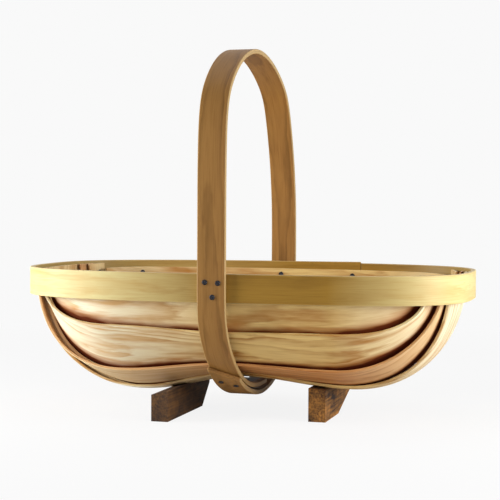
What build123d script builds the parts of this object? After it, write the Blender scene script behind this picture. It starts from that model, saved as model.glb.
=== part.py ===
from build123d import *
import math
import os

# Trug garden basket: seven bent boards nailed inside a bent rim, with a hoop handle and two feet
# X runs along the basket, Y across it, Z up from the ground under the middle of the basket

# Rim, a band bent round and half lapped at the back
length = 460.0
width = 262.0
rim_thickness = 5.0
rim_height = 28.0
rim_top = 151.0
rim_round = 1.6
rim_squareness = 3.0
rim_lap_start = 0.0
rim_lap_end = 92.0
rim_butt_gap = 1.2
lap_steps = 6
plan_points = 64

# Handle, a strip bent into a closed hoop, its ends lapped under the basket
handle_width = 28.0
handle_thickness = 5.0
handle_round = 1.3
handle_top = 374.0
near_arch_base = 225.0
far_arch_base = 178.0
hoop_bottom = 20.0
hoop_lap_fit = 0.6
hoop_end_lift = 2.6
bottom_fullness = 1.9
inner_end_turn = -7.0
outer_end_turn = 47.5
slant_turn = 9.0
slant_steps = 5
lift_turn = 32.0
arch_steps = 16
ramp_start_turn = 292.0
ramp_end_turn = 336.0
turn_step = 0.5
full_turn = 360.0
near_leg_turn = 81.0
far_leg_turn = 279.0
near_steps = 10
far_steps = 16

# Outside of the handle's arch, from the near leg over to the far one: shares of the half width
# of the hoop and of the handle's rise above the rim. It leans a little to the near side
arch_shares = (
    (-0.990, 0.560),
    (-0.937, 0.735),
    (-0.795, 0.851),
    (-0.520, 0.954),
    (-0.130, 1.000),
    (0.270, 0.960),
    (0.580, 0.874),
    (0.767, 0.752),
    (0.909, 0.534),
    (0.962, 0.399),
    (0.989, 0.287),
)

# Boards, thin planks bent lengthwise, each lapped inside the one below it
board_thickness = 2.8
board_top = 148.0
side_board_drop = 8.0
keel_low = 26.0
belly_x = 110.0
rim_fit = 0.4
lap_fit = 0.45
bend_gap = 3.4
end_gap = 2.4
belly_lap = 8.0
end_lap = 10.0
side_end_turn = 72.0
middle_steps = 4
bend_turns = (0, 15, 30, 45, 60, 75, 84, 90)
side_bend_steps = 6
turn_nudge = 0.01
pinch_power = 6

# Upper edge of each board: how far out, as a share of the inside half width, and how high, as a
# share of the hull's depth, at the handle, and how far out over the feet. Then for each end how
# high it is over the foot, how full it bends and how far out it ends. The left end hangs lower
seam_shares = {
    "centre": {"mid": (0.325, 0.149), "out": 0.310, "left": (0.001, 2.0, 0.49), "right": (0.069, 2.14, 0.48)},
    "lower": {"mid": (0.639, 0.261), "out": 0.700, "left": (0.194, 2.26, 0.6), "right": (0.243, 1.97, 0.57)},
    "middle": {"mid": (0.936, 0.546), "out": 0.935, "left": (0.58, 2.47, 0.7), "right": (0.558, 2.79, 0.69)},
}

# How deep each board is cupped across its width, at the handle, over the feet and at its ends
cups = {
    "centre": (4.0, 4.0, 3.4),
    "lower": (1.4, 1.2, 0.3),
    "middle": (1.7, 1.6, 0.3),
    "side": (2.2, 1.6, 0.8),
}

# Feet, two battens across the underside. For each: how far along it is, where its near end is,
# and where its underside starts to slant up to its far end
feet = {"left": (68.0, -90.0, 20.0), "right": (82.0, -45.0, 15.0)}
foot_width = 17.5
foot_length = 135.0
foot_toe = 8.0
foot_seat = 1.0
foot_fit = 0.3

# Nails, all with one flat round head
head_radius = 2.6
head_flat = 2.1
head_height = 0.9
head_rim = 0.5
head_lift = 0.1
shank_radius = 0.9
hole_fit = 0.1
overrun = 2.0
handle_nail_spots = ((-6.0, 8.0), (7.0, 8.5), (1.5, 22.0))
lap_nail_spots = ((-6.0, 37.0), (7.0, 33.0))
rim_lap_nail_x = (22.0, 80.0)
side_nail_steps = (-8, -3, 0, 3, 8)
side_nail_margin = 6.5
end_nail_rung = -2
end_nail_margin = 5.0
end_head_lift = 0.35
centre_nail_out = 20.0
foot_nail_out = 24.0
handle_nail_length = 9.8
lap_nail_length = 9.0
rim_lap_nail_length = 4.4
board_nail_length = 7.6
end_nail_length = 12.0
foot_nail_length = 16.0

os.makedirs("parts", exist_ok=True)

half_length = length / 2
half_width = width / 2
inside_half_width = half_width - rim_thickness
rim_bottom = rim_top - rim_height
hull_depth = board_top - keel_low


def blend(start, finish, share):
    """Value part of the way from start to finish."""
    return start + (finish - start) * share


def ease(share):
    """Share that starts and ends gently, held between nothing and all."""
    return (1 - math.cos(math.pi * min(max(share, 0), 1))) / 2


def signed_power(value, power):
    """Power of a value that keeps its sign."""
    return math.copysign(abs(value) ** power, value)


# Plan curve of the rim


def rim_out(along, inset):
    """Distance from the long axis to the rim's plan curve, moved in by inset."""
    share = min(abs(along) / (half_length - inset), 1)
    return (half_width - inset) * (1 - share**rim_squareness) ** (1 / rim_squareness)


def rim_reach(out, inset):
    """Distance from the short axis to the rim's plan curve, moved in by inset."""
    share = min(abs(out) / (half_width - inset), 1)
    return (half_length - inset) * (1 - share**rim_squareness) ** (1 / rim_squareness)


def plan_curve(inset):
    """Points round the rim's plan curve."""
    power = 2 / rim_squareness
    turns = [2 * math.pi * step / plan_points for step in range(plan_points)]
    return [
        (
            signed_power(math.cos(turn), power) * (half_length - inset),
            signed_power(math.sin(turn), power) * (half_width - inset),
        )
        for turn in turns
    ]


# Station planes of the hull: upright along its middle, then fanned about a line over each belly,
# where a spot is given by its distance out and its drop below that line


def seam_spot(board, end, hinge, turn):
    """Upper edge of a board's outer face in a station plane of one end."""
    shares = seam_shares[board]
    mid_out, mid_rise = shares["mid"]
    belly_out = shares["out"]
    belly_rise, power, end_share = shares[end]
    if turn == 0:
        share = ease(hinge / belly_x)
        out = blend(mid_out, belly_out, share) * inside_half_width
        return out, hull_depth * (1 - blend(mid_rise, belly_rise, share))
    end_out = end_share * inside_half_width
    reach = rim_reach(end_out, rim_thickness + rim_fit) - belly_x
    depth = hull_depth * (1 - belly_rise)
    drop = ((math.sin(turn) / reach) ** power + (math.cos(turn) / depth) ** power) ** (-1 / power)
    progress = drop * math.sin(turn) / reach
    return blend(belly_out * inside_half_width, end_out, progress**2), drop


def cup(board, hinge, turn):
    """Depth of a board's cupped section in a station plane."""
    mid, belly, end = cups[board]
    if turn == 0:
        return blend(mid, belly, ease(hinge / belly_x))
    return blend(belly, end, math.sin(turn))


def directions(lower, upper, sag):
    """Direction up a cupped board and inward from it, at its upper edge."""
    wide = math.dist(lower, upper)
    along = ((upper[0] - lower[0]) / wide, (upper[1] - lower[1]) / wide)
    inward = (along[1], -along[0])
    angle = 2 * math.atan(2 * sag / wide)
    up = [a * math.cos(angle) + i * math.sin(angle) for a, i in zip(along, inward)]
    over = [i * math.cos(angle) - a * math.sin(angle) for a, i in zip(along, inward)]
    return up, over


def lap_step(board, end, hinge, turn, lower, upper, over):
    """How far in the next board's foot stands, allowing for a board that crosses the plane aslant."""
    gap = board_thickness + lap_fit + bend_gap * math.sin(2 * turn) + end_gap * math.sin(turn) ** 4
    if turn == 0:
        return gap
    behind = place(hinge, turn - turn_nudge, seam_spot(board, end, hinge, turn - turn_nudge))
    ahead = place(hinge, turn + turn_nudge, seam_spot(board, end, hinge, turn + turn_nudge))
    rung = place(hinge, turn, upper) - place(hinge, turn, lower)
    facing = (ahead - behind).cross(rung).normalized()
    tip = [u + o for u, o in zip(upper, over)]
    inward = place(hinge, turn, tip) - place(hinge, turn, upper)
    return gap / abs(facing.dot(inward))


def station_edges(end, hinge, turn):
    """Lower and upper edge of every board's outer face in a station plane of one end."""
    overlap = blend(belly_lap, end_lap, math.sin(turn))
    upper = seam_spot("centre", end, hinge, turn)
    edges = {"centre": ((-upper[0], upper[1]), upper)}
    for below, board in (("centre", "lower"), ("lower", "middle"), ("middle", "side")):
        lower, upper = edges[below]
        up, over = directions(lower, upper, cup(below, hinge, turn))
        step = lap_step(below, end, hinge, turn, lower, upper, over)
        start = [u - overlap * d + step * n for u, d, n in zip(upper, up, over)]
        finish = None if board == "side" else seam_spot(board, end, hinge, turn)
        edges[board] = (start, finish)
    return edges


def place(hinge, turn, spot):
    """Point in space of a spot in a station plane on the near right quarter."""
    out, drop = spot
    return Vector(hinge + drop * math.sin(turn), -out, board_top - drop * math.cos(turn))


def to_left(point):
    """The same point at the other end of the basket."""
    return Vector(-point.X, point.Y, point.Z)


middle_stations = [(belly_x * step / middle_steps, 0.0) for step in range(middle_steps)]
bend_stations = [(belly_x, math.radians(turn)) for turn in bend_turns]
side_bend_stations = [
    (belly_x, math.radians(side_end_turn) * step / side_bend_steps) for step in range(side_bend_steps + 1)
]


def both_ends(left, right):
    """Rungs from the left end to the right end, from those of each half."""
    return [(to_left(low), to_left(high), sag) for low, high, sag in reversed(left[1:])] + right


def half_rungs(board, end):
    """Lower and upper edge of a board's outer face in space, and its cup, from the middle to an end."""
    rungs = []
    for hinge, turn in middle_stations + bend_stations:
        lower, upper = station_edges(end, hinge, turn)[board]
        rungs.append((place(hinge, turn, lower), place(hinge, turn, upper), cup(board, hinge, turn)))
    return rungs


def side_half_rungs(end):
    """The same for the side board, whose top edge runs level inside the rim."""
    top = rim_top - side_board_drop
    inset = rim_thickness + rim_fit
    end_turn = math.radians(side_end_turn)
    last = place(belly_x, end_turn, station_edges(end, belly_x, end_turn)["side"][0])
    pinch = rim_out(last.X, inset) + last.Y
    rungs = []
    for hinge, turn in middle_stations + side_bend_stations:
        low = place(hinge, turn, station_edges(end, hinge, turn)["side"][0])
        share = max(low.X - belly_x, 0) / (last.X - belly_x)
        high = Vector(low.X, pinch * share**pinch_power - rim_out(low.X, inset), top)
        rungs.append((low, high, cup("side", hinge, turn)))
    return rungs


def board_rungs(board):
    """Rungs of a whole board."""
    return both_ends(half_rungs(board, "left"), half_rungs(board, "right"))


side_rungs = both_ends(side_half_rungs("left"), side_half_rungs("right"))


def rung_planes(rungs):
    """Plane on each rung of a board: X up the rung, Y inward, Z back along the board."""
    middles = [(low + high) * 0.5 for low, high, sag in rungs]
    planes = []
    for index, (low, high, sag) in enumerate(rungs):
        ahead = middles[min(index + 1, len(rungs) - 1)]
        behind = middles[max(index - 1, 0)]
        rung = high - low
        run = (behind - ahead) - rung * ((behind - ahead).dot(rung) / rung.dot(rung))
        planes.append(Plane(origin=low, x_dir=rung, z_dir=run))
    return planes


def plank_sections(rungs):
    """Thin cupped section of a board on each of its rungs."""
    sections = []
    for plane, (low, high, sag) in zip(rung_planes(rungs), rungs):
        wide = (high - low).length
        deep = board_thickness
        with BuildSketch(plane) as section:
            with BuildLine():
                ThreePointArc((0, 0), (wide / 2, -sag), (wide, 0))
                Line((wide, 0), (wide, deep))
                ThreePointArc((wide, deep), (wide / 2, deep - sag), (0, deep))
                Line((0, deep), (0, 0))
            make_face()
        sections.append(section.sketch)
    return sections


# Nail places: a plane on the wood under each head, facing the way the nail is driven


def turned(plane, end, side):
    """A nail's plane carried over to another quarter of the basket."""
    point, facing = plane.origin, plane.z_dir
    return Plane(
        origin=(end * point.X, side * point.Y, point.Z),
        z_dir=(end * facing.X, side * facing.Y, facing.Z),
    )


def nail_seat(plane, rung, up, lift):
    """Plane on a cupped board's inner face for the head of a nail, at a distance up a rung."""
    low, high, sag = rung
    wide = (high - low).length
    share = 2 * up / wide - 1
    rise = board_thickness + lift - sag * (1 - share**2)
    inward = (plane.y_dir - plane.x_dir * (4 * sag * share / wide)).normalized()
    return Plane(origin=plane.origin + plane.x_dir * up + plane.y_dir * rise, z_dir=inward * -1)


def end_nail_planes(boards, end, sign):
    """Nails near one end through each of the boards given, on both sides of the basket."""
    planes = []
    for board in boards:
        rungs = half_rungs(board, end)
        rung = rungs[end_nail_rung]
        wide = (rung[1] - rung[0]).length
        up = wide / 2 + centre_nail_out if board == "centre" else end_nail_margin
        plane = nail_seat(rung_planes(rungs)[end_nail_rung], rung, up, end_head_lift)
        planes += [turned(plane, sign, side) for side in (1, -1)]
    return planes


def foot_nail_planes(end, sign):
    """Nails through the centre board into one foot, on both sides of the basket."""

    def under(along, out):
        edge_out, drop = seam_spot("centre", end, along, 0)
        bulge = cup("centre", along, 0) * (1 - (out / edge_out) ** 2)
        return place(along, 0, (out, drop + bulge - board_thickness - head_lift))

    along = feet[end][0]
    point = under(along, foot_nail_out)
    run = under(along + head_radius, foot_nail_out) - point
    across = under(along, foot_nail_out + head_radius) - point
    plane = Plane(origin=point, z_dir=run.cross(across))
    return [turned(plane, sign, side) for side in (1, -1)]


def side_nail_planes():
    """Nails through the near side board into the rim."""
    planes = rung_planes(side_rungs)
    middle = len(side_rungs) // 2
    nails = []
    for step in side_nail_steps:
        rung = side_rungs[middle + step]
        up = (rung[1] - rung[0]).length - side_nail_margin
        nails.append(nail_seat(planes[middle + step], rung, up, head_lift))
    return nails


def drive_nails(planes, shank):
    """Nails of one length, their heads standing on the given planes."""
    with Locations(*planes):
        Cylinder(shank_radius, shank, align=(Align.CENTER, Align.CENTER, Align.MIN))
        Cylinder(head_radius, head_rim, align=(Align.CENTER, Align.CENTER, Align.MAX))
    tops = [plane.offset(-head_rim) for plane in planes]
    with Locations(*tops):
        Cone(head_flat, head_radius, head_height - head_rim, align=(Align.CENTER, Align.CENTER, Align.MAX))


def nail_holes(planes, depth):
    """Holes for nails, cut from inside their heads' planes."""
    starts = [plane.offset(-overrun) for plane in planes]
    with Locations(*starts):
        Cylinder(
            shank_radius + hole_fit,
            depth + overrun,
            align=(Align.CENTER, Align.CENTER, Align.MIN),
            mode=Mode.SUBTRACT,
        )


lap_right_planes = end_nail_planes(("lower", "middle"), "right", 1)
lap_left_planes = end_nail_planes(("lower", "middle"), "left", -1)
lap_planes = lap_right_planes + lap_left_planes
keel_right_planes = end_nail_planes(("centre",), "right", 1)
keel_left_planes = end_nail_planes(("centre",), "left", -1)
keel_planes = keel_right_planes + keel_left_planes
side_near_planes = side_nail_planes()
side_far_planes = [turned(plane, 1, -1) for plane in side_near_planes]
foot_right_planes = foot_nail_planes("right", 1)
foot_left_planes = foot_nail_planes("left", -1)

# Handle hoop: turn 0 is its bottom, a quarter turn the foot of the near leg
hoop_reach = half_width + rim_fit + handle_thickness / 2
handle_rise = handle_top - rim_top
outer_shift = handle_thickness + hoop_lap_fit
hoop_depth = rim_bottom - hoop_bottom - handle_thickness / 2 - outer_shift


def hoop_middle(turn):
    """Point of the strip's middle line under the rim, across and up."""
    angle = math.radians(turn)
    power = 2 / bottom_fullness
    shift = outer_shift * ease((turn - ramp_start_turn) / (ramp_end_turn - ramp_start_turn))
    lift = hoop_end_lift * ease((lift_turn - turn) / lift_turn) if turn < 90 else 0
    across = -signed_power(math.sin(angle), power) * (hoop_reach + shift)
    return Vector(across, rim_bottom - abs(math.cos(angle)) ** power * (hoop_depth + shift - lift))


def hoop_run(turn):
    """Direction of the strip's middle line."""
    return (hoop_middle(turn + turn_step) - hoop_middle(turn - turn_step)).normalized()


def hoop_spot(turn, inward):
    """Point moved in from the strip's middle line."""
    run = hoop_run(turn)
    return hoop_middle(turn) + Vector(run.Y, -run.X) * inward


def spread(start, finish, steps):
    """Evenly spaced values from start to finish, both included."""
    return [blend(start, finish, step / steps) for step in range(steps + 1)]


outer_end = full_turn + outer_end_turn
near_turns = spread(inner_end_turn, near_leg_turn, near_steps)
far_turns = spread(far_leg_turn, outer_end, far_steps)
half_strip = handle_thickness / 2
outside_reach = hoop_reach + half_strip
up, down = Vector(0, 1), Vector(0, -1)
arch_spots = [(across * outside_reach, rim_top + rise * handle_rise) for across, rise in arch_shares]
arch_ends = [(-outside_reach, near_arch_base), (outside_reach, far_arch_base)]
arch_line = Spline(arch_ends[0], *arch_spots, arch_ends[1], tangents=(up, down), mode=Mode.PRIVATE)


def strip_face(inward):
    """Edges of one face of the strip, from its inner end round to its outer end."""
    reach = hoop_reach - inward
    near_foot, near_head = Vector(-reach, rim_bottom), Vector(-reach, near_arch_base)
    far_head, far_foot = Vector(reach, far_arch_base), Vector(reach, rim_bottom)
    near = [hoop_spot(turn, inward) for turn in near_turns]
    far = [hoop_spot(turn, inward) for turn in far_turns]
    arch = []
    for share in spread(0, 1, arch_steps)[1:-1]:
        run = arch_line % share
        arch.append(arch_line @ share + Vector(run.Y, -run.X) * (inward + half_strip))
    Spline(*near, near_foot, tangents=(hoop_run(near_turns[0]), up))
    Line(near_foot, near_head)
    Spline(near_head, *arch, far_head, tangents=(up, down))
    Line(far_head, far_foot)
    Spline(far_foot, *far, tangents=(down, hoop_run(far_turns[-1])))
    return near[0], far[-1]


slant_turns = spread(outer_end - slant_turn - turn_step, outer_end + turn_step, slant_steps)
long_corner = hoop_spot(outer_end, 0)
short_corner = hoop_spot(outer_end - slant_turn, 0)
end_run = hoop_run(outer_end - slant_turn / 2)
end_inward = Vector(0, end_run.Y, -end_run.X)
slant_rise = short_corner - long_corner
slant = Vector(handle_width, slant_rise.X, slant_rise.Y)
slant_facing = slant.cross(end_inward)
if slant_facing.dot(Vector(0, end_run.X, end_run.Y)) < 0:
    slant_facing = slant_facing * -1
slant_plane = Plane(
    origin=(-handle_width / 2, long_corner.X, long_corner.Y), x_dir=end_inward, z_dir=slant_facing
)

handle_near_planes = [
    Plane(origin=(along, -hoop_reach - half_strip - head_lift, rim_top - drop), z_dir=(0, 1, 0))
    for along, drop in handle_nail_spots
]
handle_far_planes = [turned(plane, 1, -1) for plane in handle_near_planes]
lap_nail_planes = []
for along, turn in lap_nail_spots:
    spot = hoop_spot(full_turn + turn, -half_strip - head_lift)
    run = hoop_run(full_turn + turn)
    lap_nail_planes.append(Plane(origin=(along, spot.X, spot.Y), z_dir=(0, run.Y, -run.X)))

# Rim hoop, one band with a half lap behind the far leg of the handle
lap_middle = rim_thickness / 2
lap_places = spread(rim_lap_start, rim_lap_end, lap_steps)
slot_far = [(along, rim_out(along, lap_middle - lap_fit / 2)) for along in lap_places]
slot_near = [(along, rim_out(along, lap_middle + lap_fit / 2)) for along in lap_places]
rim_lap_planes = []
for along in rim_lap_nail_x:
    spot = Vector(along, rim_out(along, -head_lift), rim_bottom + rim_height / 2)
    slope = (rim_out(along + head_radius, 0) - rim_out(along, 0)) / head_radius
    rim_lap_planes.append(Plane(origin=spot, z_dir=(slope, -1, 0)))

with BuildPart() as rim_hoop:
    with BuildSketch(Plane.XY.offset(rim_bottom)):
        with BuildLine():
            Spline(*plan_curve(0), periodic=True)
        make_face()
        with BuildLine():
            Spline(*plan_curve(rim_thickness), periodic=True)
        make_face(mode=Mode.SUBTRACT)
    extrude(amount=rim_height)
    rim_edges = rim_hoop.edges().group_by(Axis.Z)
    fillet(rim_edges[0] + rim_edges[-1], rim_round)
    with BuildSketch(Plane.XY.offset(rim_bottom - overrun)):
        with BuildLine():
            Spline(*slot_far)
            Line(slot_far[-1], slot_near[-1])
            Spline(*reversed(slot_near))
            Line(slot_near[0], slot_far[0])
        make_face()
        with Locations((rim_lap_start, slot_near[0][1])):
            Rectangle(rim_butt_gap, lap_middle + overrun, align=(Align.CENTER, Align.MIN))
        with Locations((rim_lap_end, slot_far[-1][1])):
            Rectangle(rim_butt_gap, lap_middle + overrun, align=(Align.CENTER, Align.MAX))
    extrude(amount=rim_height + 2 * overrun, mode=Mode.SUBTRACT)
    nail_holes(handle_near_planes + handle_far_planes, handle_nail_length + hole_fit)
    nail_holes(rim_lap_planes, rim_lap_nail_length + hole_fit)
    nail_holes(side_near_planes + side_far_planes + keel_planes, board_nail_length + hole_fit)
    nail_holes(lap_planes, end_nail_length + hole_fit)
rim_hoop.part.label = "rim_hoop"
export_step(rim_hoop.part, "parts/rim_hoop.step")

with BuildPart() as slant_cutter:
    with BuildSketch(Plane.YZ.offset(-handle_width)):
        with BuildLine():
            gap_side = [hoop_spot(turn, half_strip + hoop_lap_fit / 2) for turn in slant_turns]
            open_side = [hoop_spot(turn, -half_strip - overrun) for turn in slant_turns]
            Spline(*gap_side)
            Line(gap_side[-1], open_side[-1])
            Spline(*reversed(open_side))
            Line(open_side[0], gap_side[0])
        make_face()
    extrude(amount=2 * handle_width)
    split(bisect_by=slant_plane, keep=Keep.TOP)

with BuildPart() as handle_hoop:
    with BuildSketch(Plane.YZ.offset(-handle_width / 2)):
        with BuildLine():
            inner_start, inner_finish = strip_face(half_strip)
            outer_start, outer_finish = strip_face(-half_strip)
            Line(inner_start, outer_start)
            Line(inner_finish, outer_finish)
        make_face()
    extrude(amount=handle_width)
    strip_edges = handle_hoop.edges().group_by(Axis.X)
    long_edges = (strip_edges[0] + strip_edges[-1]).filter_by(lambda e: e.length > 2 * handle_thickness)
    fillet(long_edges, handle_round)
    add(slant_cutter.part, mode=Mode.SUBTRACT)
    nail_holes(handle_near_planes + handle_far_planes, handle_nail_length + hole_fit)
    nail_holes(lap_nail_planes, lap_nail_length + hole_fit)
handle_hoop.part.label = "handle_hoop"
export_step(handle_hoop.part, "parts/handle_hoop.step")

# Nails through the handle's legs and its lap
with BuildPart() as handle_nails_near:
    drive_nails(handle_near_planes, handle_nail_length)
handle_nails_near.part.label = "handle_nails_near"
export_step(handle_nails_near.part, "parts/handle_nails_near.step")

with BuildPart() as handle_nails_far:
    drive_nails(handle_far_planes, handle_nail_length)
handle_nails_far.part.label = "handle_nails_far"
export_step(handle_nails_far.part, "parts/handle_nails_far.step")

with BuildPart() as handle_lap_nails:
    drive_nails(lap_nail_planes, lap_nail_length)
handle_lap_nails.part.label = "handle_lap_nails"
export_step(handle_lap_nails.part, "parts/handle_lap_nails.step")

with BuildPart() as rim_lap_nails:
    drive_nails(rim_lap_planes, rim_lap_nail_length)
rim_lap_nails.part.label = "rim_lap_nails"
export_step(rim_lap_nails.part, "parts/rim_lap_nails.step")

# Centre board, the lowest and outermost, straight down the middle of the basket
with BuildPart() as centre_board:
    loft(plank_sections(board_rungs("centre")))
    nail_holes(keel_planes + foot_right_planes + foot_left_planes, board_nail_length)
    nail_holes(lap_planes, end_nail_length)
centre_board.part.label = "centre_board"
export_step(centre_board.part, "parts/centre_board.step")

# Lower, middle and side boards of the near side
with BuildPart() as lower_board_near:
    loft(plank_sections(board_rungs("lower")))
    nail_holes(lap_planes, end_nail_length)
lower_board_near.part.label = "lower_board_near"
export_step(lower_board_near.part, "parts/lower_board_near.step")

with BuildPart() as middle_board_near:
    loft(plank_sections(board_rungs("middle")))
    nail_holes(lap_planes, end_nail_length)
middle_board_near.part.label = "middle_board_near"
export_step(middle_board_near.part, "parts/middle_board_near.step")

with BuildPart() as side_board_near:
    loft(plank_sections(side_rungs))
    nail_holes(side_near_planes, board_nail_length)
side_board_near.part.label = "side_board_near"
export_step(side_board_near.part, "parts/side_board_near.step")

# The same three boards of the far side, mirrored
with BuildPart() as lower_board_far:
    mirror(lower_board_near.part, about=Plane.XZ)
lower_board_far.part.label = "lower_board_far"
export_step(lower_board_far.part, "parts/lower_board_far.step")

with BuildPart() as middle_board_far:
    mirror(middle_board_near.part, about=Plane.XZ)
middle_board_far.part.label = "middle_board_far"
export_step(middle_board_far.part, "parts/middle_board_far.step")

with BuildPart() as side_board_far:
    mirror(side_board_near.part, about=Plane.XZ)
side_board_far.part.label = "side_board_far"
export_step(side_board_far.part, "parts/side_board_far.step")


def foot_section(end, along):
    """Section of a foot across the basket, its top hollowed a little for the centre board."""
    edge_out, edge_drop = seam_spot("centre", end, along, 0)
    sag = cup("centre", along, 0)
    hollow = board_top - edge_drop - sag - foot_fit
    top = hollow + foot_seat
    seat = edge_out * math.sqrt(foot_seat / sag)
    near, slant_start = feet[end][1:]
    far = near + foot_length
    with BuildSketch(Plane(origin=(along, 0, 0), x_dir=(0, 1, 0), z_dir=(1, 0, 0))) as section:
        with BuildLine():
            Polyline((seat, top), (far, top), (far, top - foot_toe), (slant_start, 0), (near, 0),
                     (near, top), (-seat, top))
            ThreePointArc((-seat, top), (0, hollow), (seat, top))
        make_face()
    return section.sketch


def foot_sections(end):
    """Sections of a foot at its two sides."""
    along = feet[end][0]
    return [foot_section(end, along - foot_width / 2), foot_section(end, along + foot_width / 2)]


# Feet, battens across the underside, cut to the belly of the centre board
with BuildPart() as foot_right:
    loft(foot_sections("right"), ruled=True)
    nail_holes(foot_right_planes, foot_nail_length + hole_fit)
foot_right.part.label = "foot_right"
export_step(foot_right.part, "parts/foot_right.step")

with BuildPart(mode=Mode.PRIVATE) as foot_left_turned:
    loft(foot_sections("left"), ruled=True)

with BuildPart() as foot_left:
    mirror(foot_left_turned.part, about=Plane.YZ)
    nail_holes(foot_left_planes, foot_nail_length + hole_fit)
foot_left.part.label = "foot_left"
export_step(foot_left.part, "parts/foot_left.step")

# Nails of the boards and the feet
with BuildPart() as side_nails_near:
    drive_nails(side_near_planes, board_nail_length)
side_nails_near.part.label = "side_nails_near"
export_step(side_nails_near.part, "parts/side_nails_near.step")

with BuildPart() as side_nails_far:
    drive_nails(side_far_planes, board_nail_length)
side_nails_far.part.label = "side_nails_far"
export_step(side_nails_far.part, "parts/side_nails_far.step")

with BuildPart() as end_nails_right:
    drive_nails(lap_right_planes, end_nail_length)
    drive_nails(keel_right_planes, board_nail_length)
end_nails_right.part.label = "end_nails_right"
export_step(end_nails_right.part, "parts/end_nails_right.step")

with BuildPart() as end_nails_left:
    drive_nails(lap_left_planes, end_nail_length)
    drive_nails(keel_left_planes, board_nail_length)
end_nails_left.part.label = "end_nails_left"
export_step(end_nails_left.part, "parts/end_nails_left.step")

with BuildPart() as foot_nails_right:
    drive_nails(foot_right_planes, foot_nail_length)
foot_nails_right.part.label = "foot_nails_right"
export_step(foot_nails_right.part, "parts/foot_nails_right.step")

with BuildPart() as foot_nails_left:
    drive_nails(foot_left_planes, foot_nail_length)
foot_nails_left.part.label = "foot_nails_left"
export_step(foot_nails_left.part, "parts/foot_nails_left.step")
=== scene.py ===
import math

import bmesh
import bpy
from mathutils import Matrix, Vector


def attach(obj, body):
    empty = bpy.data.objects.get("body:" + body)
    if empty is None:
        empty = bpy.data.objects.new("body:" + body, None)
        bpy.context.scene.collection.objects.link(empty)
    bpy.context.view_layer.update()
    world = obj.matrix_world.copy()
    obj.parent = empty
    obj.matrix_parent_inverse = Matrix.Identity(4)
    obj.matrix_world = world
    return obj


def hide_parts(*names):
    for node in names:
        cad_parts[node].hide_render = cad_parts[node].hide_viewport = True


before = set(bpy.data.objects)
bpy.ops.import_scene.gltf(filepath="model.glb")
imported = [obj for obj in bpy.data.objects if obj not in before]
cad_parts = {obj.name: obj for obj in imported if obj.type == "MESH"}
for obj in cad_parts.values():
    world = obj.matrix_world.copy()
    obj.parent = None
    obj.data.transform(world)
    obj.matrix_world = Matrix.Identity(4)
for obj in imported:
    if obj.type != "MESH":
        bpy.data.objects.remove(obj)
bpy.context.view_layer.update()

# Rim hoop. A band of cleft wood, shaved flat, steamed and bent round the mouth of the basket,
# then half lapped to itself at the back and nailed. Its grain follows the bend all the way round.

mm = 0.001
rim_length = 460 * mm
rim_width = 262 * mm
rim_thickness = 5 * mm
rim_height = 28 * mm
rim_top = 151 * mm
rim_bottom = rim_top - rim_height
rim_squareness = 3.0
rim_lap_end = 92 * mm
rim_lap_fit = 0.3 * mm
rim_butt_gap = 0.6 * mm
rim_lap_rise = 1.6 * mm
rim_rise_turn = 1.1
rim_rings = 240
rim_lap_rings = 12
rim_shoulder_turn = 0.004
rim_close_turn = 0.005
rim_round = 1.3 * mm

# The wood's patterns, in waves per metre along, across and deep in the board: a patch is about
# 70 mm by 17 mm and a flame 110 mm by 13 mm. Real fibre is finer than 0.1 mm. It is drawn as flecks
# of about 36 mm by 1 mm, as coarse as it needs to be to show.
wander_waves = (5, 22, 22)
ripple_waves = (26, 110, 110)
patch_waves = (14, 60, 60)
patch_start = (3, 1, 0)
patch_levels = (0.42, 0.62)
patch_least = 0.45
flame_waves = (9, 75, 75)
flame_start = (0, 2, 0)
flame_levels = (0.5, 0.68)
fibre_waves = (28, 900, 900)
fibre_levels = (0.5, 0.8)
ring_shades = ((0.0, 0.05), (0.45, 0.2), (0.86, 1.0), (1.0, 0.1))
fibre_relief = 0.6
relief_strength = 0.25
relief_depth = 0.25 * mm
wood_gloss = 0.22

# Painted highlight toward both ends of the basket, where the side lamps catch the wood, from where
# it starts to where it is strongest: along the basket, into the board
end_highlight_left = (15 * mm, -125 * mm)
end_highlight_right = (110 * mm, 225 * mm)
end_highlight_share = 0.9
end_highlight_depths = (1.5 * mm, 0.5 * mm)
end_highlight_inside = 0.3
end_highlight_line = "#D09A48"

# Stain and painted shade in the laps, dark where the gap lies, with a halo of warm painted shade,
# and long edges painted pale, as wear and as painted highlight. A board that keeps its edges gets a
# reach that lies further out than any edge.
lap_shade_halo = "#B4641E"
lap_halo_share = 0.85
lap_shade_wander = 16 * mm
lap_shade_reach = (-11 * mm, -2 * mm)
lap_shade_power = 3.0
lap_roughness = 0.95
worn_and_highlit_wood = "#DDC48C"
wear_and_highlight_reach = 1.1 * mm
wear_and_highlight_share = 0.42
no_pale_edge = 1.0


def linear(code):
    """Linear colour of an sRGB hex value."""
    shares = [int(code[i : i + 2], 16) / 255 for i in (1, 3, 5)]
    return (*[c / 12.92 if c <= 0.04045 else ((c + 0.055) / 1.055) ** 2.4 for c in shares], 1.0)


def add(tree, kind, inputs=(), **settings):
    """Node with its settings, and its sockets set to values or linked.

    A socket is linked to another node's socket, or to the first output where a node is given."""
    made = tree.nodes.new(kind)
    for name, value in settings.items():
        setattr(made, name, value)
    for socket, value in dict(inputs).items():
        if isinstance(value, bpy.types.Node):
            value = value.outputs[0]
        if isinstance(value, bpy.types.NodeSocket):
            tree.links.new(value, made.inputs[socket])
        else:
            made.inputs[socket].default_value = value
    return made


def empty_tree(owner):
    """Node tree of a material or a world, with nothing in it yet."""
    owner.use_nodes = True
    owner.node_tree.nodes.clear()
    return owner.node_tree


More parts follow.
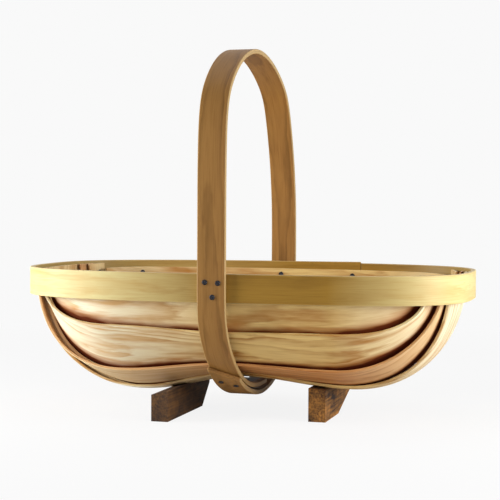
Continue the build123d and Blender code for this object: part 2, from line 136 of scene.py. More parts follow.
def bent_wood(name, pale, line, lap_stain_and_shade, end_highlight, ring, heart, taper, drift, lines, flames, fleck,
              roughness, lap_shade_strength=0.0, worn_and_highlit_from=no_pale_edge):
    """Wood that is drawn in the flat board, from how far along, across and deep in it a spot lies.

    Growth rings, each as wide as ring, run round a heart that lies a little under the board, so a
    flat sawn face shows arches and lines, and its fine fibre runs lengthwise. Taper is how fast the
    heart sinks along the board, and drift how far it wanders sideways. The end colour is painted
    highlight, pale toward both ends of the basket where the side lamps catch the wood. The lap
    colour is stain with painted shade, dark in the laps. Lines, flames, fleck and lap strength say
    how strongly rings, flames, fibre and the laps' stain and painted shade show. The last argument
    is how far from the board's middle its edges are painted pale, as wear and as painted highlight."""
    material = bpy.data.materials.new(name)
    tree = empty_tree(material)
    grain = add(tree, "ShaderNodeAttribute", attribute_name="grain").outputs["Vector"]
    edge = add(tree, "ShaderNodeAttribute", attribute_name="edge").outputs["Fac"]
    spot = add(tree, "ShaderNodeSeparateXYZ", {0: grain})

    # Growth rings, counted outwards from the heart, each fading up to a dark line
    wander_at = add(tree, "ShaderNodeMapping", {"Vector": grain, "Scale": wander_waves})
    wander = add(tree, "ShaderNodeTexNoise", {"Vector": wander_at, "Scale": 1.0, "Detail": 2.0})
    bend = add(tree, "ShaderNodeMath", {0: wander, 1: drift, 2: -drift / 2},
               operation="MULTIPLY_ADD")
    side = add(tree, "ShaderNodeMath", {0: spot.outputs["Y"], 1: bend}, operation="ADD")
    lean = add(tree, "ShaderNodeMath", {0: spot.outputs["X"], 1: taper, 2: heart},
               operation="MULTIPLY_ADD")
    under = add(tree, "ShaderNodeMath", {0: spot.outputs["Z"], 1: lean}, operation="ADD")
    from_heart = add(tree, "ShaderNodeCombineXYZ", {"Y": side, "Z": under})
    reach = add(tree, "ShaderNodeVectorMath", {0: from_heart}, operation="LENGTH")
    ripple_at = add(tree, "ShaderNodeMapping", {"Vector": grain, "Scale": ripple_waves})
    ripple = add(tree, "ShaderNodeTexNoise", {"Vector": ripple_at, "Scale": 1.0, "Detail": 3.0})
    count = add(tree, "ShaderNodeMath", {0: reach.outputs["Value"], 1: 1 / ring, 2: ripple},
                operation="MULTIPLY_ADD")
    part = add(tree, "ShaderNodeMath", {0: count}, operation="FRACT")
    band = add(tree, "ShaderNodeValToRGB", {0: part})
    shades = band.color_ramp.elements
    for stop, level in ring_shades[1:-1]:
        shades.new(stop)
    for element, (stop, level) in zip(shades, ring_shades):
        element.color = (level, level, level, 1)
    patch_at = add(tree, "ShaderNodeMapping", {
        "Vector": grain, "Scale": patch_waves, "Location": patch_start})
    broad = add(tree, "ShaderNodeTexNoise", {"Vector": patch_at, "Scale": 1.0, "Detail": 3.0})
    patch = add(tree, "ShaderNodeMapRange", {
        "Value": broad, "From Min": patch_levels[0], "From Max": patch_levels[1],
        "To Min": patch_least})
    strong = add(tree, "ShaderNodeMath", {0: band, 1: patch}, operation="MULTIPLY")
    shown = add(tree, "ShaderNodeMath", {0: strong, 1: lines}, operation="MULTIPLY")

    # Clear wood and its lines, with painted highlight that pales them toward both ends of the
    # basket, most of all on the outside; inside it is weaker, as painted shade
    at = add(tree, "ShaderNodeTexCoord").outputs["Object"]
    along = add(tree, "ShaderNodeSeparateXYZ", {0: at})
    left = add(tree, "ShaderNodeMapRange", {
        "Value": along.outputs["X"], "From Min": end_highlight_left[0], "From Max": end_highlight_left[1],
        "To Max": end_highlight_share})
    right = add(tree, "ShaderNodeMapRange", {
        "Value": along.outputs["X"], "From Min": end_highlight_right[0], "From Max": end_highlight_right[1],
        "To Max": end_highlight_share})
    ends = add(tree, "ShaderNodeMath", {0: left, 1: right}, operation="MAXIMUM")
    outside = add(tree, "ShaderNodeMapRange", {
        "Value": spot.outputs["Z"], "From Min": end_highlight_depths[0], "From Max": end_highlight_depths[1],
        "To Min": end_highlight_inside})
    highlit = add(tree, "ShaderNodeMath", {0: ends, 1: outside}, operation="MULTIPLY")
    clear = add(tree, "ShaderNodeMix", {"Factor": highlit, "A": linear(pale), "B": linear(end_highlight)},
                data_type="RGBA").outputs["Result"]
    vein = add(tree, "ShaderNodeMix", {"Factor": highlit, "A": linear(line), "B": linear(end_highlight_line)},
               data_type="RGBA").outputs["Result"]
    ringed = add(tree, "ShaderNodeMix", {"Factor": shown, "A": clear, "B": vein},
                 data_type="RGBA").outputs["Result"]

    # Flames, which are long blurred streaks of darker wood, and fine flecks of fibre
    flame_at = add(tree, "ShaderNodeMapping", {
        "Vector": grain, "Scale": flame_waves, "Location": flame_start})
    streak = add(tree, "ShaderNodeTexNoise", {"Vector": flame_at, "Scale": 1.0, "Detail": 4.0})
    flame = add(tree, "ShaderNodeMapRange", {
        "Value": streak, "From Min": flame_levels[0], "From Max": flame_levels[1],
        "To Max": flames})
    flamed = add(tree, "ShaderNodeMix", {"Factor": flame, "A": ringed, "B": vein},
                 data_type="RGBA").outputs["Result"]
    fibre_at = add(tree, "ShaderNodeMapping", {"Vector": grain, "Scale": fibre_waves})
    fibre = add(tree, "ShaderNodeTexNoise", {"Vector": fibre_at, "Scale": 1.0, "Detail": 4.0})
    dark = add(tree, "ShaderNodeMapRange", {
        "Value": fibre, "From Min": fibre_levels[0], "From Max": fibre_levels[1],
        "To Max": fleck})
    flecked = add(tree, "ShaderNodeMix", {"Factor": dark, "A": flamed, "B": vein},
                  data_type="RGBA").outputs["Result"]

    # Stain and painted shade beside the laps, then the long edges painted pale as wear and as
    # painted highlight
    uneven = add(tree, "ShaderNodeMath", {0: broad, 1: -lap_shade_wander, 2: edge},
                 operation="MULTIPLY_ADD")
    lapped = add(tree, "ShaderNodeMapRange", {
        "Value": uneven, "From Min": lap_shade_reach[0], "From Max": lap_shade_reach[1],
        "To Min": lap_shade_strength, "To Max": 0.0})
    halo = add(tree, "ShaderNodeMath", {0: lapped, 1: lap_halo_share}, operation="MULTIPLY")
    haloed = add(tree, "ShaderNodeMix", {"Factor": halo, "A": flecked, "B": linear(lap_shade_halo)},
                 data_type="RGBA").outputs["Result"]
    lap_darkness = add(tree, "ShaderNodeMath", {0: lapped, 1: lap_shade_power}, operation="POWER")
    lap_shaded = add(tree, "ShaderNodeMix", {"Factor": lap_darkness, "A": haloed, "B": linear(lap_stain_and_shade)},
                  data_type="RGBA").outputs["Result"]
    # Long edges painted paler, as wear and as painted highlight
    across = add(tree, "ShaderNodeMath", {0: spot.outputs["Y"]}, operation="ABSOLUTE")
    worn_and_highlit = add(tree, "ShaderNodeMapRange", {
        "Value": across, "From Min": worn_and_highlit_from - wear_and_highlight_reach, "From Max": worn_and_highlit_from, "To Max": wear_and_highlight_share})
    finished = add(tree, "ShaderNodeMix", {"Factor": worn_and_highlit, "A": lap_shaded, "B": linear(worn_and_highlit_wood)},
                   data_type="RGBA").outputs["Result"]

    # Planed wood has little gloss and a slight relief, and the stained and shaded laps are dull
    dull = add(tree, "ShaderNodeMapRange", {
        "Value": lapped, "To Min": roughness, "To Max": lap_roughness})
    height = add(tree, "ShaderNodeMath", {0: fibre, 1: fibre_relief, 2: strong},
                 operation="MULTIPLY_ADD")
    bump = add(tree, "ShaderNodeBump", {
        "Strength": relief_strength, "Distance": relief_depth, "Height": height})
    shader = add(tree, "ShaderNodeBsdfPrincipled", {
        "Base Color": finished, "Roughness": dull, "Specular IOR Level": wood_gloss,
        "Normal": bump})
    add(tree, "ShaderNodeOutputMaterial", {0: shader})
    return material


edge_steps = 3
sharp_turn = math.radians(50)


def grow(name, rings, material, bevel):
    """Solid strip drawn out of its end section, ring by ring, with a slightly rounded edge.

    A ring is a list of corners: a place, then how far along, across and deep in the wood it is,
    then how far from the strip's long edges."""
    shape = bmesh.new()
    corner = shape.verts.layers.int.new("corner")
    grain = shape.verts.layers.float_vector.new("grain")
    edge = shape.verts.layers.float.new("edge")

    def settle(tips, ring):
        for tip in tips:
            tip.co, tip[grain], tip[edge] = ring[tip[corner]]

    tips = [shape.verts.new(place) for place, wood, margin in rings[0]]
    for number, tip in enumerate(tips):
        tip[corner] = number
    settle(tips, rings[0])
    first = end = shape.faces.new(tips)
    for ring in rings[1:]:
        grown = bmesh.ops.extrude_face_region(shape, geom=[end])["geom"]
        if end.is_valid and end != first:
            bmesh.ops.delete(shape, geom=[end], context="FACES_ONLY")
        end = next(item for item in grown if isinstance(item, bmesh.types.BMFace))
        settle(end.verts, ring)
    bmesh.ops.recalc_face_normals(shape, faces=shape.faces)
    for face in shape.faces:
        face.smooth = True
    mesh = bpy.data.meshes.new(name)
    shape.to_mesh(mesh)
    shape.free()
    mesh.materials.append(material)
    piece = bpy.data.objects.new(name, mesh)
    bpy.context.collection.objects.link(piece)
    rounding = piece.modifiers.new("rounding", "BEVEL")
    rounding.width = bevel
    rounding.segments = edge_steps
    rounding.limit_method = "ANGLE"
    rounding.angle_limit = sharp_turn
    rounding.use_clamp_overlap = True
    rounding.harden_normals = True
    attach(piece, "root")
    return piece


def signed_power(value, power):
    """Power of a value that keeps its sign."""
    return math.copysign(abs(value) ** power, value)


def blend(start, finish, share):
    """Value part of the way from start to finish."""
    return start + (finish - start) * share


def spread(start, finish, steps):
    """Evenly spaced values from start to finish, both included."""
    return [blend(start, finish, step / steps) for step in range(steps + 1)]


def rim_out(along, inset):
    """Distance from the long axis to the rim's plan curve, moved in by inset."""
    share = min(abs(along) / (rim_length / 2 - inset), 1)
    return (rim_width / 2 - inset) * (1 - share**rim_squareness) ** (1 / rim_squareness)


def rim_reach(out, inset):
    """Distance from the short axis to the rim's plan curve, moved in by inset."""
    share = min(abs(out) / (rim_width / 2 - inset), 1)
    return (rim_length / 2 - inset) * (1 - share**rim_squareness) ** (1 / rim_squareness)


def rim_spot(turn):
    """Point of the rim's outside at a turn from the right end, and the way in from it."""
    power = 2 / rim_squareness
    x = signed_power(math.cos(turn), power) * rim_length / 2
    y = signed_power(math.sin(turn), power) * rim_width / 2
    slope = Vector((
        x * abs(x) ** (rim_squareness - 2) / (rim_length / 2) ** rim_squareness,
        y * abs(y) ** (rim_squareness - 2) / (rim_width / 2) ** rim_squareness,
        0))
    return Vector((x, y, 0)), -slope.normalized()


def turn_at(along):
    """Turn at which the back of the rim is that far along."""
    share = signed_power(along / (rim_length / 2), rim_squareness / 2)
    return math.acos(share)


rim_middle = rim_thickness / 2
first_turn = turn_at(rim_lap_end - rim_butt_gap)
back_turn = turn_at(0)
last_turn = turn_at(rim_lap_end) + 2 * math.pi
final_turn = back_turn + 2 * math.pi - rim_close_turn
rim_turns = (
    [(turn, rim_middle + rim_lap_fit / 2, rim_thickness)
     for turn in spread(first_turn, back_turn, rim_lap_rings)]
    + [(turn, 0, rim_thickness)
       for turn in spread(back_turn + rim_shoulder_turn, last_turn, rim_rings)]
    + [(turn, 0, rim_middle - rim_lap_fit / 2)
       for turn in spread(last_turn + rim_shoulder_turn, final_turn, rim_lap_rings)]
)
rings = []
run = 0
before = None
for turn, outer, inner in rim_turns:
    spot, inward = rim_spot(turn)
    run += (spot - before).length if before else 0
    before = spot
    rise = rim_lap_rise * max(0, 1 - abs(turn - first_turn) / rim_rise_turn) ** 2
    up = Vector((0, 0, rise))
    low, high = Vector((0, 0, rim_bottom)), Vector((0, 0, rim_top))
    rings.append([
        (spot + inward * outer + low + up, (run, -rim_height / 2, 0), 0),
        (spot + inward * outer + high + up, (run, rim_height / 2, 0), 0),
        (spot + inward * inner + high + up, (run, rim_height / 2, rim_thickness), 0),
        (spot + inward * inner + low + up, (run, -rim_height / 2, rim_thickness), 0),
    ])

# Shaved ash, unvarnished: smooth with a faint gloss, and straight lines of grain that hardly show.
# Painted highlight pales it toward both ends of the basket, and its top and bottom edges are
# painted pale, as wear and as painted highlight
rim_wood = bent_wood(
    "shaved_ash_band", "#A17A2F", "#755219", "#8F6524", "#E0D498", ring=3.2 * mm, heart=30 * mm,
    taper=0.01, drift=0.02, lines=0.4, flames=0.3, fleck=0.5, roughness=0.42, worn_and_highlit_from=rim_height / 2)
rim = grow("rim_band", rings, rim_wood, rim_round)
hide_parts("rim_hoop")

# Handle. A strip of the same wood bent into a hoop right round the basket, nailed to both sides of
# the rim, its two ends lapped and nailed below. Handling has darkened its faces, and its edges are
# painted paler, as wear and as painted highlight.

handle_width = 28 * mm
handle_thickness = 5 * mm
handle_top = 374 * mm
near_arch_base = 225 * mm
far_arch_base = 178 * mm
hoop_bottom = 20 * mm
hoop_lap_fit = 0.6 * mm
hoop_end_lift = 2.6 * mm
bottom_fullness = 1.9
inner_end_turn = -7
near_side_turn = 79
far_side_turn = 281
outer_end_turn = 47.5
slant_turn = 9
slant_overrun = 1.1
slant_steps = 2
lift_turn = 32
ramp_start_turn = 292
ramp_end_turn = 336
leg_margin = 8 * mm
rim_fit = 0.4 * mm
hoop_rings = 280
corrections = 30
arch_shares = (
    (-0.990, 0.560), (-0.937, 0.735), (-0.795, 0.851), (-0.520, 0.954), (-0.130, 1.000),
    (0.270, 0.960), (0.580, 0.874), (0.767, 0.752), (0.909, 0.534), (0.962, 0.399), (0.989, 0.287),
)
inner_steps = 6
near_leg_steps = 3
far_leg_steps = 2
outer_steps = 11
outside_reach = rim_width / 2 + rim_fit + handle_thickness
handle_rise = handle_top - rim_top
outer_shift = handle_thickness + hoop_lap_fit
hoop_depth = rim_bottom - hoop_bottom - outer_shift


def ease(share):
    """Share that starts and ends gently, held between nothing and all."""
    return (1 - math.cos(math.pi * min(max(share, 0), 1))) / 2


def hoop_spot(turn):
    """Point of the hoop's outside below the rim, at a turn from its bottom towards the near leg."""
    angle = math.radians(turn)
    power = 2 / bottom_fullness
    shift = outer_shift * ease((turn - ramp_start_turn) / (ramp_end_turn - ramp_start_turn))
    lift = hoop_end_lift * ease((lift_turn - turn) / lift_turn) if turn < 90 else 0
    across = -signed_power(math.sin(angle), power) * (outside_reach + shift)
    height = rim_bottom - abs(math.cos(angle)) ** power * (hoop_depth + shift - lift)
    return Vector((0, across, height))


# Smooth line through the hoop's places: control points are corrected until the curve meets them
leg_start = rim_bottom + leg_margin
places = [hoop_spot(turn) for turn in spread(inner_end_turn, near_side_turn, inner_steps)]
places += [Vector((0, -outside_reach, height))
           for height in spread(leg_start, near_arch_base, near_leg_steps)]
places += [Vector((0, across * outside_reach, rim_top + rise * handle_rise))
           for across, rise in arch_shares]
places += [Vector((0, outside_reach, height))
           for height in spread(far_arch_base, leg_start, far_leg_steps)]
places += [hoop_spot(turn) for turn in spread(far_side_turn, 360 + outer_end_turn, outer_steps)]
places = [places[0] * 2 - places[1], *places, places[-1] * 2 - places[-2]]
controls = list(places)
for correction in range(corrections):
    drawn = [(a + b * 4 + c) / 6 for a, b, c in zip(controls, controls[1:], controls[2:])]
    for index, point in enumerate(drawn, 1):
        controls[index] = controls[index] + places[index] - point


def hoop_line(position):
    """Point of the smooth line, counted in places from the hoop's inner end, and its direction."""
    index = min(int(position), len(controls) - 4)
    t = position - index
    a, b, c, d = controls[index : index + 4]
    point = (a * (1 - t) ** 3 + b * (3 * t**3 - 6 * t**2 + 4)
             + c * (3 * t + 3 * t**2 - 3 * t**3 + 1) + d * t**3) / 6
    way = (-a * (1 - t) ** 2 + b * (3 * t**2 - 4 * t) + c * (1 + 2 * t - 3 * t**2) + d * t**2) / 2
    return point, way.normalized()


last_place = len(places) - 3
place_turn = (360 + outer_end_turn - far_side_turn) / outer_steps
slant_places = slant_overrun * slant_turn / place_turn
rings = []
run = 0
before = None
for position in spread(0, last_place, hoop_rings):
    near_end = max(0, (position - last_place + slant_steps) / slant_steps)
    corners = []
    for x, depth in ((-1, 0), (1, 0), (1, 1), (-1, 1)):
        held = position - near_end * slant_places * (x + 1) / 2
        spot, way = hoop_line(held)
        inward = Vector((0, way.z, -way.y))
        if (x, depth) == (-1, 0):
            run += (spot - before).length if before else 0
            before = spot
        half = x * handle_width / 2
        place = spot + inward * depth * handle_thickness + Vector((half, 0, 0))
        corners.append((place, (run, half, depth * handle_thickness), 0))
    rings.append(corners)

# Ash again, browned by hands: duller than the rim, its grain lines stronger, its edges painted pale
# as wear and as painted highlight, with a little painted highlight from the ends too
handle_wood = bent_wood(
    "handled_ash_strip", "#9F723A", "#63401A", "#6E4218", "#AD8446", ring=2.6 * mm,
    heart=24 * mm, taper=0.01, drift=0.015, lines=0.7, flames=0.3, fleck=0.6, roughness=0.5,
    worn_and_highlit_from=handle_width / 2)
handle = grow("handle_strip", rings, handle_wood, rim_round)
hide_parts("handle_hoop")

# Centre board. A thin plank, the lowest of seven, that runs down the middle and up both ends. Like
# the others it is sawn thin, wetted and bent, and it cups a little across its width.

board_thickness = 2.8 * mm
board_top = 148 * mm
keel_low = 26 * mm
belly_x = 110 * mm
lap_fit = 0.45 * mm
bend_gap = 2.6 * mm
end_gap = 2.0 * mm
end_gap_power = 4
gap_shares = {"centre": 1, "lower": 1, "middle": 0.25}
belly_lap = 11 * mm
end_lap = 16 * mm
turn_nudge = 0.01
board_round = 0.45 * mm
flat_stations = 16
bend_stations = 44
board_rows = 12
inside_half_width = rim_width / 2 - rim_thickness
hull_depth = board_top - keel_low

# Upper edge of each board's outer face, in shares of the half width and of the hull's depth. Mid is
# how far out and up it is at the middle of the basket, and out how far out at the belly. Left and
# right: how far up it is at the belly, how full its bend is, and how far out its end is
seam_shares = {
    "centre": {"mid": (0.325, 0.149), "out": 0.310,
               "left": (0.001, 2.1, 0.48), "right": (0.069, 2.18, 0.47)},
    "lower": {"mid": (0.639, 0.261), "out": 0.700,
              "left": (0.194, 2.26, 0.57), "right": (0.243, 2.0, 0.54)},
    "middle": {"mid": (0.936, 0.546), "out": 0.935,
               "left": (0.58, 2.4, 0.66), "right": (0.558, 2.79, 0.67)},
}

# Depth of each board's cupped section at the middle, at the belly and at the end
cups = {
    "centre": (6.2 * mm, 4.8 * mm, 4.4 * mm),
    "lower": (1.4 * mm, 1.2 * mm, 0.3 * mm),
    "middle": (1.7 * mm, 1.6 * mm, 0.3 * mm),
    "side": (2.2 * mm, 1.6 * mm, 0.8 * mm),
}


def seam_spot(board, end, hinge, turn):
    """Upper edge of a board's outer face in a station plane of one end: distance out, and drop."""
    shares = seam_shares[board]
    mid_out, mid_rise = shares["mid"]
    belly_out = shares["out"]
    belly_rise, power, end_share = shares[end]
    if turn == 0:
        share = ease(hinge / belly_x)
        out = blend(mid_out, belly_out, share) * inside_half_width
        return out, hull_depth * (1 - blend(mid_rise, belly_rise, share))
    end_out = end_share * inside_half_width
    reach = rim_reach(end_out, rim_thickness + rim_fit) - belly_x
    depth = hull_depth * (1 - belly_rise)
    across, down = abs(math.sin(turn) / reach), abs(math.cos(turn) / depth)
    drop = (across**power + down**power) ** (-1 / power)
    progress = drop * math.sin(turn) / reach
    return blend(belly_out * inside_half_width, end_out, progress**2), drop


def cup(board, hinge, turn):
    """Depth of a board's cupped section in a station plane."""
    mid, belly, end = cups[board]
    if turn == 0:
        return blend(mid, belly, ease(hinge / belly_x))
    return blend(belly, end, math.sin(turn))


def place(hinge, turn, spot):
    """Point in space of a spot in a station plane on the near right quarter."""
    out, drop = spot
    return Vector((hinge + drop * math.sin(turn), -out, board_top - drop * math.cos(turn)))


def directions(lower, upper, sag):
    """Direction up a cupped board and inward from it, at its upper edge."""
    wide = math.dist(lower, upper)
    along = ((upper[0] - lower[0]) / wide, (upper[1] - lower[1]) / wide)
    inward = (along[1], -along[0])
    angle = 2 * math.atan(2 * sag / wide)
    up = [a * math.cos(angle) + i * math.sin(angle) for a, i in zip(along, inward)]
    over = [i * math.cos(angle) - a * math.sin(angle) for a, i in zip(along, inward)]
    return up, over


def lap_step(board, end, hinge, turn, lower, upper, over):
    """How far in the next board's foot stands, also where a board crosses the plane aslant."""
    opening = bend_gap * math.sin(2 * turn) + end_gap * math.sin(turn) ** end_gap_power
    gap = board_thickness + lap_fit + opening * gap_shares[board]
    if turn == 0:
        return gap
    behind = place(hinge, turn - turn_nudge, seam_spot(board, end, hinge, turn - turn_nudge))
    ahead = place(hinge, turn + turn_nudge, seam_spot(board, end, hinge, turn + turn_nudge))
    rung = place(hinge, turn, upper) - place(hinge, turn, lower)
    facing = (ahead - behind).cross(rung).normalized()
    tip = [u + o * mm for u, o in zip(upper, over)]
    inward = (place(hinge, turn, tip) - place(hinge, turn, upper)).normalized()
    return gap / abs(facing.dot(inward))


def lap_width(turn):
    """How far a board reaches behind the one below it."""
    return blend(belly_lap, end_lap, math.sin(turn))


def station_edges(end, hinge, turn):
    """Lower and upper edge of every board's outer face in a station plane of one end."""
    overlap = lap_width(turn)
    upper = seam_spot("centre", end, hinge, turn)
    edges = {"centre": ((-upper[0], upper[1]), upper)}
    for below, board in (("centre", "lower"), ("lower", "middle"), ("middle", "side")):
        lower, upper = edges[below]
        up, over = directions(lower, upper, cup(below, hinge, turn))
        step = lap_step(below, end, hinge, turn, lower, upper, over)
        start = [u - overlap * d + step * n for u, d, n in zip(upper, up, over)]
        finish = None if board == "side" else seam_spot(board, end, hinge, turn)
        edges[board] = (start, finish)
    return edges


# Station planes of one half: upright ones to the belly, then a fan that turns about a line there
stations = [(belly_x * share, 0.0) for share in spread(0, 1, flat_stations)][:-1]
stations += [(belly_x, turn) for turn in spread(0, math.pi / 2, bend_stations)]


def both_ends(half):
    """Rungs from the left end to the right one, from the function that gives one half's."""
    flip = Vector((-1, 1, 1))
    left = reversed(half("left")[1:])
    return [(low * flip, high * flip, sag, lap) for low, high, sag, lap in left] + half("right")


def board_rungs(board):
    """A board from end to end: lower and upper edge of its outer face, its cup and its lap."""

    def half(end):
        rungs = []
        for hinge, turn in stations:
            lower, upper = station_edges(end, hinge, turn)[board]
            low, high = place(hinge, turn, lower), place(hinge, turn, upper)
            rungs.append((low, high, cup(board, hinge, turn), lap_width(turn)))
        return rungs

    return both_ends(half)


def plank(name, board, rungs, near, material, node, start):
    """Board of one side, from its rungs on the near side.

    Start is how far along the sawn wood it was cut, so that no two boards show the same grain."""
    side = Vector((1, 1 if near else -1, 1))
    rings = []
    run = start
    middle = (rungs[0][0] + rungs[0][1]) / 2
    for index, (low, high, sag, lap) in enumerate(rungs):
        ahead = rungs[min(index + 1, len(rungs) - 1)]
        behind = rungs[max(index - 1, 0)]
        way = (behind[0] + behind[1] - ahead[0] - ahead[1]) / 2
        rung = (high - low).normalized()
        inward = (way - rung * way.dot(rung)).normalized().cross(rung)
        run += ((low + high) / 2 - middle).length
        middle = (low + high) / 2
        wide = (high - low).length
        outer, inner = [], []
        for share in spread(0, 1, board_rows):
            spot = low + rung * (share * wide) - inward * (4 * sag * share * (1 - share))
            across = (share - 0.5) * wide
            back = spot + inward * board_thickness
            margin = wide if board == "centre" else share * wide - lap
            outer.append((spot * side, (run, across, 0), margin))
            inner.append((back * side, (run, across, board_thickness), wide))
        rings.append(outer + inner[::-1])
    piece = grow(name, rings, material, board_round)
    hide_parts(node)
    return piece


# Flat sawn pine: pale and dull, with bold arches and flames, rusty stain with painted shade at the
# laps, and painted highlight toward both ends of the basket
board_wood = bent_wood(
    "sawn_pine_board", "#E6C680", "#9F5E10", "#602604", "#F1ECD3", ring=4.2 * mm, heart=26 * mm,
    taper=0.035, drift=0.05, lines=0.8, flames=0.75, fleck=0.4, roughness=0.5, lap_shade_strength=1.0)
plank("centre_plank", "centre", board_rungs("centre"), True,
      board_wood, "centre_board", 0.3)

# Lower boards. One thin plank each side of the centre board, of a pinker softwood with straight,
# close grain. Its lower edge is lapped behind the centre board, and its ends are nailed to the rim.

# Sawn cedar: pink brown and dull, with fine straight lines and hardly any flames, stain with
# painted shade at the laps, and painted highlight toward both ends of the basket
lower_wood = bent_wood(
    "sawn_cedar_board", "#CF9459", "#8F4A1A", "#541D04", "#E8D3A8", ring=2.6 * mm, heart=60 * mm,
    taper=0.004, drift=0.01, lines=0.75, flames=0.2, fleck=0.4, roughness=0.5, lap_shade_strength=1.0)
lower_rungs = board_rungs("lower")
plank("lower_plank_near", "lower", lower_rungs, True,
      lower_wood, "lower_board_near", 1.1)
plank("lower_plank_far", "lower", lower_rungs, False,
      lower_wood, "lower_board_far", 1.9)

# Middle boards. The widest of the boards, of the centre board's wood, flat sawn, so their grain
# shows long arches. They are bent and lapped like the lower ones, round the swell of the belly.

middle_rungs = board_rungs("middle")
plank("middle_plank_near", "middle", middle_rungs, True,
      board_wood, "middle_board_near", 0.0)
plank("middle_plank_far", "middle", middle_rungs, False,
      board_wood, "middle_board_far", 2.4)

# Side boards. The topmost, of the same wood. Their top edge is cut to run level inside the rim,
# where a row of nails holds them, and they end where the rim turns in towards its ends.

side_board_drop = 8 * mm
pinch_power = 6
side_end_turn = math.radians(72)
side_stations = [(hinge, turn) for hinge, turn in stations if turn <= side_end_turn]
side_top = rim_top - side_board_drop
side_inset = rim_thickness + rim_fit


def side_half(end):
    """Rungs of the side board's half towards one end, its top edge level inside the rim."""
    last = place(belly_x, side_end_turn, station_edges(end, belly_x, side_end_turn)["side"][0])
    pinch = rim_out(last.x, side_inset) + last.y
    rungs = []
    for hinge, turn in side_stations:
        low = place(hinge, turn, station_edges(end, hinge, turn)["side"][0])
        share = max(low.x - belly_x, 0) / (last.x - belly_x)
        out = rim_out(low.x, side_inset) - pinch * share**pinch_power
        high = Vector((low.x, -out, side_top))
        rungs.append((low, high, cup("side", hinge, turn), lap_width(turn)))
    return rungs


side_rungs = both_ends(side_half)
plank("side_plank_near", "side", side_rungs, True,
      board_wood, "side_board_near", 3.1)
plank("side_plank_far", "side", side_rungs, False,
      board_wood, "side_board_far", 3.9)

# Feet. Two battens of rough sawn softwood, soaked in dark stain. Each is cut to a wedge, scribed to
# the belly of the centre board, and nailed on through it from inside.

# Rough sawn, stained softwood: ridges of about 2 mm left by the saw, dull, and blotched where the
# stain took more. The left foot is painted darker than the right, as painted shade.
saw_waves = (500, 25, 500)
blotch_waves = 60.0
stain_levels = (0.12, 0.42)
foot_dark = "#24130A"
foot_light = "#B27A35"
left_shade_from = -40 * mm
left_shade_to = 40 * mm
left_shade_least = 0.3
saw_strength = 0.6
saw_depth = 0.5 * mm
rough_wood = 0.85


def clothe(name, material):
    """Give a CAD node its material."""
    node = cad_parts[name]
    node.data.materials.clear()
    node.data.materials.append(material)


foot_wood = bpy.data.materials.new("stained_rough_batten")
tree = empty_tree(foot_wood)
at = add(tree, "ShaderNodeTexCoord").outputs["Object"]
saw_at = add(tree, "ShaderNodeMapping", {"Vector": at, "Scale": saw_waves})
saw = add(tree, "ShaderNodeTexNoise", {"Vector": saw_at, "Scale": 1.0, "Detail": 4.0})
blotch = add(tree, "ShaderNodeTexNoise", {"Vector": at, "Scale": blotch_waves, "Detail": 3.0})
tone = add(tree, "ShaderNodeMath", {0: saw, 1: blotch}, operation="MULTIPLY")
depth = add(tree, "ShaderNodeMapRange", {
    "Value": tone, "From Min": stain_levels[0], "From Max": stain_levels[1]})
along = add(tree, "ShaderNodeSeparateXYZ", {0: at})
# Painted shade: darker toward the left foot
left_shading = add(tree, "ShaderNodeMapRange", {
    "Value": along.outputs["X"], "From Min": left_shade_from, "From Max": left_shade_to,
    "To Min": left_shade_least})
shade = add(tree, "ShaderNodeMath", {0: depth, 1: left_shading}, operation="MULTIPLY")
colour = add(tree, "ShaderNodeMix", {
    "Factor": shade, "A": linear(foot_dark), "B": linear(foot_light)}, data_type="RGBA")
bump = add(tree, "ShaderNodeBump", {
    "Strength": saw_strength, "Distance": saw_depth, "Height": saw})
shader = add(tree, "ShaderNodeBsdfPrincipled", {
    "Base Color": colour.outputs["Result"], "Roughness": rough_wood, "Normal": bump})
add(tree, "ShaderNodeOutputMaterial", {0: shader})
clothe("foot_left", foot_wood)
clothe("foot_right", foot_wood)

# Nails. Small nails of black iron with flat round heads about 5 mm across, driven through boards,
# rim and handle. The hammer has dented the heads and left them a little shiny.

# Black iron: near black, with a shine that the dents, about 1 mm each, break up
dent_waves = 900.0
iron_dark = "#1B1A1C"
iron_light = "#4A484C"
dent_strength = 0.8
dent_depth = 0.6 * mm
iron_roughness = 0.24

nail_iron = bpy.data.materials.new("black_iron_nail")
tree = empty_tree(nail_iron)
at = add(tree, "ShaderNodeTexCoord").outputs["Object"]
dents = add(tree, "ShaderNodeTexNoise", {"Vector": at, "Scale": dent_waves, "Detail": 2.0})
tone = add(tree, "ShaderNodeMix", {
    "Factor": dents, "A": linear(iron_dark), "B": linear(iron_light)}, data_type="RGBA")
bump = add(tree, "ShaderNodeBump", {
    "Strength": dent_strength, "Distance": dent_depth, "Height": dents})
shader = add(tree, "ShaderNodeBsdfPrincipled", {
    "Base Color": tone.outputs["Result"], "Metallic": 1.0, "Roughness": iron_roughness,
    "Normal": bump})
add(tree, "ShaderNodeOutputMaterial", {0: shader})
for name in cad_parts:
    if "nails" in name:
        clothe(name, nail_iron)

# Studio. A white floor that keeps a soft shadow and fades into a white backdrop, and soft light
# from both sides and from above.

floor_reach = 20
backdrop_white = linear("#F9F9F9")
floor_grey = (0.8, 0.8, 0.8, 1)
shadow_grey = (0.1, 0.1, 0.1, 1)
floor_glow = 0.92
floor_fade = (0.3, 1.0)
ambient_strength = 0.2
lamp_aim = Vector((0, 0, 0.12))
softboxes = (
    ("left_softbox", Vector((-0.95, -0.42, 0.3)), 0.5, 12.5),
    ("right_softbox", Vector((0.95, -0.22, 0.3)), 0.5, 8.5),
    ("top_softbox", Vector((0.0, 0.2, 1.6)), 1.0, 4),
)

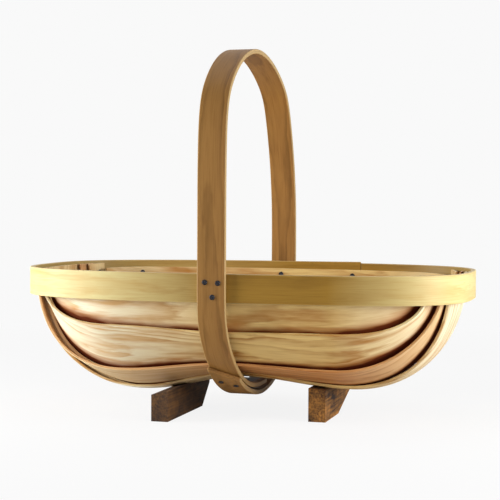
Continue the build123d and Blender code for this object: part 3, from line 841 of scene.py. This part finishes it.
floor_shape = bmesh.new()
bmesh.ops.create_grid(floor_shape, x_segments=1, y_segments=1, size=floor_reach)
floor_mesh = bpy.data.meshes.new("studio_floor")
floor_shape.to_mesh(floor_mesh)
floor_shape.free()
floor = bpy.data.objects.new("studio_floor", floor_mesh)
bpy.context.collection.objects.link(floor)
floor_paint = bpy.data.materials.new("white_studio_floor")
tree = empty_tree(floor_paint)
path = add(tree, "ShaderNodeLightPath")
matt = add(tree, "ShaderNodeBsdfDiffuse", {"Color": floor_grey})
shadowed = add(tree, "ShaderNodeBsdfDiffuse", {"Color": shadow_grey})
glow = add(tree, "ShaderNodeEmission", {"Color": backdrop_white, "Strength": floor_glow})
near_floor = add(tree, "ShaderNodeAddShader", {0: shadowed, 1: glow})
far_floor = add(tree, "ShaderNodeEmission", {"Color": backdrop_white, "Strength": 1.0})
at = add(tree, "ShaderNodeTexCoord").outputs["Object"]
away = add(tree, "ShaderNodeVectorMath", {0: at}, operation="LENGTH").outputs["Value"]
fade = add(tree, "ShaderNodeMapRange", {
    "Value": away, "From Min": floor_fade[0], "From Max": floor_fade[1]})
shown = add(tree, "ShaderNodeMixShader", {0: fade, 1: near_floor, 2: far_floor})
choice = add(tree, "ShaderNodeMixShader", {0: path.outputs["Is Camera Ray"], 1: matt, 2: shown})
add(tree, "ShaderNodeOutputMaterial", {0: choice})
floor_mesh.materials.append(floor_paint)

world = bpy.data.worlds.new("studio")
bpy.context.scene.world = world
tree = empty_tree(world)
path = add(tree, "ShaderNodeLightPath")
seen = add(tree, "ShaderNodeMath", {
    0: path.outputs["Is Camera Ray"], 1: path.outputs["Is Glossy Ray"]}, operation="MAXIMUM")
seen = add(tree, "ShaderNodeMath", {
    0: seen, 1: path.outputs["Is Transmission Ray"]}, operation="MAXIMUM")
ambient = add(tree, "ShaderNodeBackground", {"Color": (1, 1, 1, 1), "Strength": ambient_strength})
backdrop = add(tree, "ShaderNodeBackground", {"Color": backdrop_white, "Strength": 1.0})
choice = add(tree, "ShaderNodeMixShader", {0: seen, 1: ambient, 2: backdrop})
add(tree, "ShaderNodeOutputWorld", {0: choice})

for name, spot, size, power in softboxes:
    lamp = bpy.data.lights.new(name, "AREA")
    lamp.shape = "DISK"
    lamp.size = size
    lamp.energy = power
    light = bpy.data.objects.new(name, lamp)
    light.location = spot
    light.rotation_euler = (lamp_aim - spot).to_track_quat("-Z", "Y").to_euler()
    bpy.context.collection.objects.link(light)

# Camera. It stands a little to the right and just above the rim, far off with a long lens.

view_turn = math.radians(16.223)
view_rise = math.radians(2.229)
view_roll = math.radians(0.283)
view_distance = 1.401
view_centre = Vector((-1.151 * mm, 0, 168.811 * mm))
lens_length = 96.94
film_width = 36

back = Vector((
    math.sin(view_turn) * math.cos(view_rise),
    -math.cos(view_turn) * math.cos(view_rise),
    math.sin(view_rise)))
right = Vector((math.cos(view_turn), math.sin(view_turn), 0))
up = back.cross(right)
rolled_right = right * math.cos(view_roll) + up * math.sin(view_roll)
rolled_up = up * math.cos(view_roll) - right * math.sin(view_roll)
axes = Matrix((rolled_right, rolled_up, back)).transposed()
camera_data = bpy.data.cameras.new("camera")
camera_data.lens = lens_length
camera_data.sensor_width = film_width
camera = bpy.data.objects.new("camera", camera_data)
bpy.context.collection.objects.link(camera)
camera.matrix_world = Matrix.Translation(view_centre + back * view_distance) @ axes.to_4x4()
bpy.context.scene.camera = camera
bpy.context.scene.view_settings.view_transform = "Standard"

bpy.context.view_layer.update()
